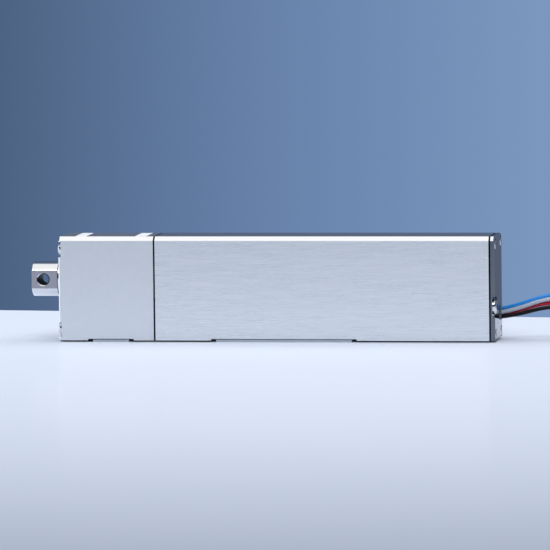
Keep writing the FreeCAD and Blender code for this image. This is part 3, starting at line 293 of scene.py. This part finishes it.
def mark_side(material, axis, operation, limit, *look):
    """A zone of a surface that lies to one side of a limit along an axis."""
    tree = material.node_tree
    place = axes(tree, "Object")[axis]
    side = add_node(tree, "ShaderNodeMath", {"operation": operation}, {0: place, 1: limit})
    mark_zone(material, side.outputs[0], *look)


def mark_cut_edges(material):
    """The slanted upper edges of a piece, cut bright after the rest of it was finished."""
    tree = material.node_tree
    facing = axes(tree, "Normal")["Z"]
    slanted = add_node(
        tree, "ShaderNodeMath", {"operation": "COMPARE"}, {0: facing, 1: EDGE_SLANT, 2: EDGE_SPAN}
    )
    mark_zone(material, slanted.outputs[0], "FBFCFD", 0.12)


def mark_groove_floors(material):
    """The floors of the grooves across the top, milled pale and dull."""
    tree = material.node_tree
    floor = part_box("front_housing")[1].z - GROOVE_DEPTH
    place = axes(tree, "Object")["Z"]
    at_floor = add_node(
        tree, "ShaderNodeMath", {"operation": "COMPARE"}, {0: place, 1: floor, 2: GROOVE_REACH}
    )
    facing = axes(tree, "Normal")["Z"]
    faces_up = add_node(
        tree, "ShaderNodeMath", {"operation": "GREATER_THAN"}, {0: facing, 1: FLAT_FACING}
    )
    milled = add_node(
        tree,
        "ShaderNodeMath",
        {"operation": "MULTIPLY"},
        {0: at_floor.outputs[0], 1: faces_up.outputs[0]},
    )
    mark_zone(material, milled.outputs[0], "F4F6F8", 0.6, 0.2)


def mark_rod_end(material):
    """The two flats of the rod end, ground dull, and painted shade on the wall of the hole across them.
    """
    tree = material.node_tree
    across = add_node(
        tree, "ShaderNodeMath", {"operation": "ABSOLUTE"}, {0: axes(tree, "Normal")["Y"]}
    )
    on_flat = add_node(
        tree, "ShaderNodeMath", {"operation": "GREATER_THAN"}, {0: across.outputs[0], 1: FLAT_FACING}
    )
    mark_zone(material, on_flat.outputs[0], "B0AFB6", 0.3)
    low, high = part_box("rod_end")
    eye = (low.x + EYE_FROM_TIP, 0, (low.z + high.z) / 2)
    place = add_node(tree, "ShaderNodeTexCoord").outputs["Object"]
    from_eye = add_node(tree, "ShaderNodeVectorMath", {"operation": "SUBTRACT"}, {0: place, 1: eye})
    flattened = add_node(
        tree, "ShaderNodeVectorMath", {"operation": "MULTIPLY"}, {0: from_eye.outputs[0], 1: (1, 0, 1)}
    )
    reach = add_node(tree, "ShaderNodeVectorMath", {"operation": "LENGTH"}, {0: flattened.outputs[0]})
    painted_hole_shade = add_node(
        tree, "ShaderNodeMath", {"operation": "LESS_THAN"}, {0: reach.outputs["Value"], 1: PAINTED_HOLE_SHADE_REACH}
    )
    # Painted shade: the wall of the hole through the eye is painted near black
    mark_zone(material, painted_hole_shade.outputs[0], "0B0B0D", 0.6, 0.2)


def finish_nodes(material, *names):
    """Gives CAD nodes a material."""
    for name in names:
        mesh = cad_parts[name].data
        mesh.materials.clear()
        mesh.materials.append(material)


def new_piece(name, bm, material, node):
    """Makes a finished piece of the housing from a bmesh, in place of a CAD node."""
    bm.normal_update()
    bmesh.ops.recalc_face_normals(bm, faces=bm.faces)
    mesh = bpy.data.meshes.new(name)
    bm.to_mesh(mesh)
    bm.free()
    mesh.materials.append(material)
    piece = bpy.data.objects.new(name, mesh)
    bpy.context.collection.objects.link(piece)
    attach(piece, "housing")
    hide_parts(node)
    return piece


def socket_screw(bm, seat, way, shank_end, y, z, head, tall, shank):
    """A domed head with a hexagon socket, on its shank: rings drawn out from the socket's floor."""
    top = seat + way * tall
    floor = Matrix.Translation((top - way * tall * SOCKET_DEPTH, y, z))
    floor @= Matrix.Rotation(math.pi / 2, 4, "Y")
    old = set(bm.edges)
    bmesh.ops.create_circle(
        bm, cap_ends=True, radius=head * SOCKET_SHARE, segments=SOCKET_SIDES, matrix=floor
    )
    sides = [e for e in bm.edges if e not in old]
    bmesh.ops.subdivide_edges(bm, edges=sides, cuts=RING_SIDES // SOCKET_SIDES - 1)
    rim = [e for e in bm.edges if e not in old]
    # The socket's mouth keeps the hexagon's shape, so it has no radius of its own
    rings = [(top, None)]
    rings += [(seat + way * tall * height, head * radius) for height, radius in DOME]
    rings += [(seat, head), (seat, shank), (shank_end, shank)]
    for x, radius in rings:
        made = bmesh.ops.extrude_edge_only(bm, edges=rim)["geom"]
        rim = [g for g in made if isinstance(g, bmesh.types.BMEdge)]
        for vert in [g for g in made if isinstance(g, bmesh.types.BMVert)]:
            out = vert.co - Vector((vert.co.x, y, z))
            if radius:
                out = out.normalized() * radius
            vert.co = Vector((x, y, z)) + out
    bmesh.ops.edgeloop_fill(bm, edges=rim)


def head_places(low, high, head):
    """Where heads stand at both ends of a stretch, or in its middle where one head fills it."""
    middle = (low + high) / 2
    apart = (high - low) / 2 - head
    return [middle - apart, middle + apart] if apart > head else [middle]


def make_screws(name, material, node, way, head, tall, shank):
    """The screws of one node: heads towards way along X, at the corners of the node's box."""
    low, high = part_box(node)
    seat = (high.x if way > 0 else low.x) - way * tall
    shank_end = low.x if way > 0 else high.x
    bm = bmesh.new()
    for y in head_places(low.y, high.y, head):
        for z in head_places(low.z, high.z, head):
            socket_screw(bm, seat, way, shank_end, y, z, head, tall, shank)
    screws = new_piece(name, bm, material, node)
    screws.data.shade_smooth()
    screws.data.set_sharp_from_angle(angle=SHARP_ANGLE)


def make_camera():
    """A camera at the photograph's angle, turned a little about its own view."""
    away = Vector(
        (
            math.sin(CAMERA_AZIMUTH) * math.cos(CAMERA_ELEVATION),
            -math.cos(CAMERA_AZIMUTH) * math.cos(CAMERA_ELEVATION),
            math.sin(CAMERA_ELEVATION),
        )
    )
    level = Vector((math.cos(CAMERA_AZIMUTH), math.sin(CAMERA_AZIMUTH), 0))
    upright = away.cross(level)
    right = level * math.cos(CAMERA_ROLL) + upright * math.sin(CAMERA_ROLL)
    up = upright * math.cos(CAMERA_ROLL) - level * math.sin(CAMERA_ROLL)
    data = bpy.data.cameras.new("photo_camera")
    data.sensor_width = SENSOR
    data.lens = SENSOR * FOCAL_PIXELS / PICTURE
    camera = bpy.data.objects.new("photo_camera", data)
    turn = Matrix((right, up, away)).transposed().to_4x4()
    camera.matrix_world = Matrix.Translation(CAMERA_AIM + away * CAMERA_DISTANCE) @ turn
    bpy.context.collection.objects.link(camera)
    bpy.context.scene.camera = camera


def bend(x, y, radius, height, side):
    """Half a turn of a lead, from one straight side of the hank to the other."""
    points = []
    for k in range(BEND_STEPS + 1):
        angle = side * (math.pi / 2 - math.pi * k / BEND_STEPS)
        points.append((x + side * radius * math.cos(angle), y + radius * math.sin(angle), height))
    return points


def hank_points(height):
    """A lead's way through the hank at one height, to the connector's rear face."""
    drop = HANK_PITCH / 2
    inner = HANK_RADIUS - HANK_PITCH
    last = HANK_RADIUS - 2 * HANK_PITCH
    end = HANK_MIDDLE + inner - 2 * HANK_PITCH
    points = bend(HANK_END, HANK_MIDDLE, HANK_RADIUS, height, 1)
    points += bend(HANK_START, HANK_MIDDLE - drop, HANK_RADIUS - drop, height, -1)
    points += bend(HANK_END, HANK_MIDDLE, inner, height, 1)
    points += bend(HANK_START, HANK_MIDDLE - 2 * drop, last, height, -1)
    points.append((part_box("lead_connector")[0].x, end, height))
    return points


def make_lead(colour, material):
    """One lead as a curve through its route and the hank."""
    route = LEAD_ROUTES[colour]
    points = route + hank_points(route[-1][2])
    curve = bpy.data.curves.new(f"lead_{colour}", "CURVE")
    curve.dimensions = "3D"
    curve.bevel_depth = LEAD_DIAMETER / 2
    curve.bevel_resolution = 5
    curve.resolution_u = 6
    curve.use_fill_caps = True
    spline = curve.splines.new("NURBS")
    spline.points.add(len(points) - 1)
    for point, place in zip(spline.points, points):
        point.co = (*place, 1)
    spline.order_u = 3
    spline.use_endpoint_u = True
    curve.materials.append(material)
    lead = bpy.data.objects.new(f"lead_{colour}", curve)
    bpy.context.collection.objects.link(lead)
    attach(lead, "housing")
    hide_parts(*LEAD_NODES[colour])
    return lead


def make_connector(material):
    """A four way plug: a contact window for each lead in its mating end, and latch windows beside."""
    low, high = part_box("lead_connector")
    bm = bmesh.new()
    bmesh.ops.create_cube(bm, size=1)
    bmesh.ops.scale(bm, vec=high - low, verts=bm.verts)
    bmesh.ops.translate(bm, vec=(low + high) / 2, verts=bm.verts)
    bmesh.ops.bevel(
        bm, geom=bm.edges[:], offset=PLUG_EDGE, affect="EDGES", segments=2, profile=0.5, material=-1
    )
    first = (low.z + high.z) / 2 - HANK_PITCH * len(LEAD_ROUTES) / 2
    walls = [first + HANK_PITCH * k for k in range(len(LEAD_ROUTES) + 1)]
    latch = [high.x - LATCH_END, high.x - LATCH_START]
    cuts = [((0, 0, z), (0, 0, 1)) for z in walls] + [((x, 0, 0), (1, 0, 0)) for x in latch]
    for place, across in cuts:
        geometry = bm.verts[:] + bm.edges[:] + bm.faces[:]
        bmesh.ops.bisect_plane(bm, geom=geometry, plane_co=place, plane_no=across)
    bm.normal_update()
    ends = []
    sides = []
    for face in bm.faces:
        middle = face.calc_center_median()
        if walls[0] < middle.z < walls[-1]:
            if face.normal.x > FACES_AXIS:
                ends.append(face)
            if abs(face.normal.y) > FACES_AXIS and latch[0] < middle.x < latch[1]:
                sides.append(face)
    for windows, depth in ((ends, CONTACT_DEPTH), (sides, LATCH_DEPTH)):
        bmesh.ops.inset_individual(bm, faces=windows, thickness=PLUG_WALL, use_even_offset=True)
        bmesh.ops.inset_individual(bm, faces=windows, thickness=0, depth=-depth)
    return new_piece("lead_plug", bm, material, "lead_connector")


def make_table():
    """A plain pale table."""
    bm = bmesh.new()
    bmesh.ops.create_grid(bm, x_segments=1, y_segments=1, size=0.5)
    bmesh.ops.scale(bm, vec=(TABLE_WIDTH, TABLE_DEPTH, 1), verts=bm.verts)
    bmesh.ops.translate(bm, vec=(0, TABLE_EDGE - TABLE_DEPTH / 2, 0), verts=bm.verts)
    bmesh.ops.rotate(bm, matrix=Matrix.Rotation(TABLE_TURN, 3, "Z"), verts=bm.verts)
    mesh = bpy.data.meshes.new("table")
    bm.to_mesh(mesh)
    bm.free()
    # Lacquered board: pale and even, with a faint gloss and a hardly visible cloudiness
    lacquer = grained(
        "lacquered_table",
        "E3EAF5",
        "E0E7F3",
        60,
        (0.5, 0.55),
        Specular_IOR_Level=0.0,
        Coat_Weight=0.2,
        Coat_Roughness=0.12,
    )
    mesh.materials.append(lacquer)
    table = bpy.data.objects.new("table", mesh)
    bpy.context.collection.objects.link(table)


def make_lamps():
    """Soft lamps over, before and to the left of the part."""
    for name, (place, aim, width, depth, watts, spread, mirrored) in LAMPS.items():
        data = bpy.data.lights.new(name, "AREA")
        data.shape = "RECTANGLE"
        data.size = width
        data.size_y = depth
        data.energy = watts
        data.spread = math.radians(spread)
        lamp = bpy.data.objects.new(name, data)
        lamp.visible_glossy = mirrored
        lamp.location = place
        lamp.rotation_euler = (Vector(aim) - Vector(place)).to_track_quat("-Z", "Y").to_euler()
        bpy.context.collection.objects.link(lamp)


def fill_ramp(ramp, stops):
    """Gives a colour ramp its stops, as pairs of a position and an sRGB colour."""
    for stop in stops[2:]:
        ramp.elements.new(stop[0])
    for element, (position, code) in zip(ramp.elements, stops):
        element.position = position
        element.color = linear(code)


def make_distance():
    """A blue grey distance for the camera and for what the metal mirrors, and a weak even fill light."""
    world = bpy.data.worlds.new("studio")
    bpy.context.scene.world = world
    world.use_nodes = True
    tree = world.node_tree
    tree.nodes.clear()
    look = axes(tree, "Generated")
    passed = {}
    for name, (axis, start, end) in PASSAGES.items():
        passage = add_node(
            tree,
            "ShaderNodeMapRange",
            inputs={"Value": look[axis], "From Min": start, "From Max": end},
        )
        passed[name] = passage.outputs["Result"]
    backdrop = add_node(tree, "ShaderNodeValToRGB", inputs={"Fac": passed["sideways"]})
    fill_ramp(backdrop.color_ramp, [((side + 1) / 2, code) for side, code in BACKDROP_TONES])
    ahead = add_node(tree, "ShaderNodeValToRGB", inputs={"Fac": look["Z"]})
    fill_ramp(ahead.color_ramp, AHEAD_TONES)
    rear = add_node(
        tree,
        "ShaderNodeMix",
        {"data_type": "RGBA"},
        {FACTOR: passed["upper"], COLOUR_A: backdrop.outputs["Color"], COLOUR_B: linear(UPPER_TONE)},
    )
    around = add_node(
        tree,
        "ShaderNodeMix",
        {"data_type": "RGBA"},
        {FACTOR: passed["behind"], COLOUR_A: ahead.outputs["Color"], COLOUR_B: rear.outputs[COLOUR_OUT]},
    )
    whole = add_node(
        tree,
        "ShaderNodeMix",
        {"data_type": "RGBA"},
        {
            FACTOR: passed["overhead"],
            COLOUR_A: around.outputs[COLOUR_OUT],
            COLOUR_B: linear(OVERHEAD_TONE),
        },
    )
    distance = add_node(
        tree, "ShaderNodeBackground", inputs={"Color": whole.outputs[COLOUR_OUT], "Strength": 1.0}
    )
    fill = add_node(
        tree,
        "ShaderNodeBackground",
        inputs={"Color": linear(FILL_TONE), "Strength": FILL_STRENGTH},
    )
    rays = add_node(tree, "ShaderNodeLightPath").outputs
    direct = add_node(
        tree,
        "ShaderNodeMath",
        {"operation": "MAXIMUM"},
        {0: rays["Is Camera Ray"], 1: rays["Is Glossy Ray"]},
    )
    seen = add_node(
        tree,
        "ShaderNodeMath",
        {"operation": "MAXIMUM"},
        {0: direct.outputs[0], 1: rays["Is Transmission Ray"]},
    )
    mixed = add_node(
        tree,
        "ShaderNodeMixShader",
        inputs={0: seen.outputs[0], 1: fill.outputs[0], 2: distance.outputs[0]},
    )
    add_node(tree, "ShaderNodeOutputWorld", inputs={"Surface": mixed.outputs[0]})


make_camera()

# PVC insulation: smooth extruded plastic, a soft sheen along each lead and faint draw marks
for colour, (pale, deep, sheen) in LEAD_COLOURS.items():
    pvc = grained(f"pvc_{colour}", pale, deep, 0.4, (0.14, 0.2), (8, 1, 1), Specular_IOR_Level=sheen)
    make_lead(colour, pvc)

# Clear anodised aluminium, brushed along the body: fine level streaks, drawn coarser so that they show
brushed = grained("brushed_aluminium", "FDFDFE", "D3D9E0", 0.22, (0.23, 0.34), (45, 1, 1), Metallic=1.0)
finish_nodes(brushed, "main_housing")

# Clear anodised aluminium, finely blasted: an even pale grey, with milled groove floors that look white
satin = grained("satin_aluminium", "EEF0F3", "E6E9ED", 1.5, (0.31, 0.36), Metallic=1.0)
mark_groove_floors(satin)
finish_nodes(satin, "front_housing")

# Both housings have bright cut upper edges, and painted shade along the lower edge: a dark strip where it
# stands in the dark over the table
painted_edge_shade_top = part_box("main_housing")[0].z + PAINTED_EDGE_SHADE
for housing in (brushed, satin):
    mark_cut_edges(housing)
    mark_side(housing, "Z", "LESS_THAN", painted_edge_shade_top, "1E252E", 0.6, 0.2)

# Dark nickel plate, polished: a dim mirror of the table and the leads, with the upper edges cut bright
nickel = grained("polished_nickel_plate", "70767F", "686E77", 2.0, (0.05, 0.09), Metallic=1.0)
mark_cut_edges(nickel)
finish_nodes(nickel, "rear_cover", "position_magnet")

# Nitrile rubber, moulded: dull black
rubber = grained(
    "nitrile_rubber", "060709", "030405", 0.3, (0.6, 0.75), relief=0.01, Specular_IOR_Level=0.1
)
finish_nodes(rubber, "front_gasket", "rear_gasket", "rod_wiper", "stop_bumper")

# Silicone, moulded: grey with a soft bloom
silicone = grained("silicone_grey", "6A7482", "606A78", 0.3, (0.3, 0.4), relief=0.01)
finish_nodes(silicone, "lead_grommet")

# Hard chromed steel, ground and polished: bright with turned rings, drawn coarser so that they show
chrome = ("F2F3F5", "E8EAED", 0.2, (0.1, 0.16), (1, 8, 8))
chromed = grained("chromed_steel", *chrome, Metallic=1.0)
# A dark joint line where the tube meets the rod end, partly painted shade of the step there
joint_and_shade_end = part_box("rod_tube")[0].x + JOINT_AND_SHADE_WIDTH
mark_side(chromed, "X", "LESS_THAN", joint_and_shade_end, "2A2C31", 0.5, 0.2)
finish_nodes(chromed, "rod_tube")
chromed_end = grained("chromed_rod_end", *chrome, Metallic=1.0)
mark_rod_end(chromed_end)
finish_nodes(chromed_end, "rod_end")

# Stainless steel, turned: bright small heads and pins
stainless = grained("stainless_steel", "E6E7E9", "D9DADD", 0.15, (0.08, 0.14), (1, 6, 6), Metallic=1.0)
finish_nodes(stainless, "gearhead_screws", "gear_pillars", "lead_screw", "output_shaft", "gear_clip")

# Bearing steel, ground: a clear mirror with a faint grain
bearing = grained("bearing_steel", "D6D7D8", "CDCECF", 0.1, (0.06, 0.12), Metallic=1.0)
finish_nodes(bearing, "bearing_outer_rings", "bearing_inner_rings", "bearing_balls")

# Grey anodised aluminium: dull strips let in under the body, with painted shade along their upper edge
# where they meet the body's recess
grey = grained("grey_anodised_aluminium", "CCD2DA", "C0C7D0", 0.4, (0.42, 0.52), Metallic=0.5)
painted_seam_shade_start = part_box("main_foot_pad")[1].z - PAINTED_SEAM_SHADE
mark_side(grey, "Z", "GREATER_THAN", painted_seam_shade_start, "3E454E", 0.6, 0.2)
finish_nodes(grey, "front_foot_pad", "main_foot_pad")

# Aluminium, milled and left bare: fine tool marks across the plates
milled = grained("milled_aluminium", "CDCFD1", "BEC0C3", 0.2, (0.28, 0.42), (1, 1, 20), Metallic=1.0)
finish_nodes(milled, "bearing_plate", "gear_plate", "clamp_frame")

# Sintered bronze, soaked with oil: brown gold with dark pores
bronze = grained("sintered_bronze", "B48A4E", "8A6636", 0.25, (0.3, 0.48), relief=0.01, Metallic=1.0)
finish_nodes(bronze, "guide_bush", "drive_nut")

# Brass, hobbed: yellow metal with light tool marks along the teeth
brass = grained("free_cutting_brass", "D9B566", "C8A252", 0.15, (0.16, 0.28), (10, 1, 1), Metallic=1.0)
finish_nodes(brass, "screw_gear", "drive_pinion")

# Drawn steel, nickel plated: smooth cans with faint lengthwise draw lines
drawn = grained("nickel_plated_steel", "C4C3BE", "B6B5B0", 0.3, (0.2, 0.3), (30, 1, 1), Metallic=1.0)
finish_nodes(drawn, "motor_can", "gearhead_case")

# Acetal, moulded: slippery off white
acetal = grained("acetal_natural", "E4E1D8", "DCD8CE", 0.8, (0.34, 0.44))
finish_nodes(acetal, "rod_carriage")

# Nylon, moulded: matt with a light spark texture, off white or black
nylon_white = grained("nylon_white", "E6E2D6", "DCD8CB", 0.3, (0.45, 0.55), relief=0.01)
finish_nodes(nylon_white, "lead_header")
nylon_black = grained("nylon_black", "1A1B1D", "141517", 0.3, (0.45, 0.58), relief=0.01)
finish_nodes(nylon_black, "hank_tie", "motor_end_cap", "encoder_cover")

# The leads end in their plug, and a tie holds the hank
on_leads = [make_connector(nylon_white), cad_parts["hank_tie"]]

# Epoxy mould compound: dark grey with a fine speckle
epoxy = grained("mould_compound", "2A2B2D", "1E1F21", 0.12, (0.5, 0.65))
finish_nodes(epoxy, "board_chips", "position_sensors")

# Glass laminate under green resist: the weave shows faintly through the gloss
laminate = grained("green_laminate", "1F6A46", "185A3A", 0.35, (0.22, 0.3), relief=0.006)
finish_nodes(laminate, "control_board", "encoder_board")

# Fired ceramic: matt tan blocks
ceramic = grained("capacitor_ceramic", "B08B62", "A27E56", 0.2, (0.5, 0.6))
finish_nodes(ceramic, "board_capacitors")

for name, sizes in SCREWS.items():
    make_screws(name, stainless, *sizes)

make_table()
make_lamps()
make_distance()
bpy.context.scene.view_settings.view_transform = "Standard"
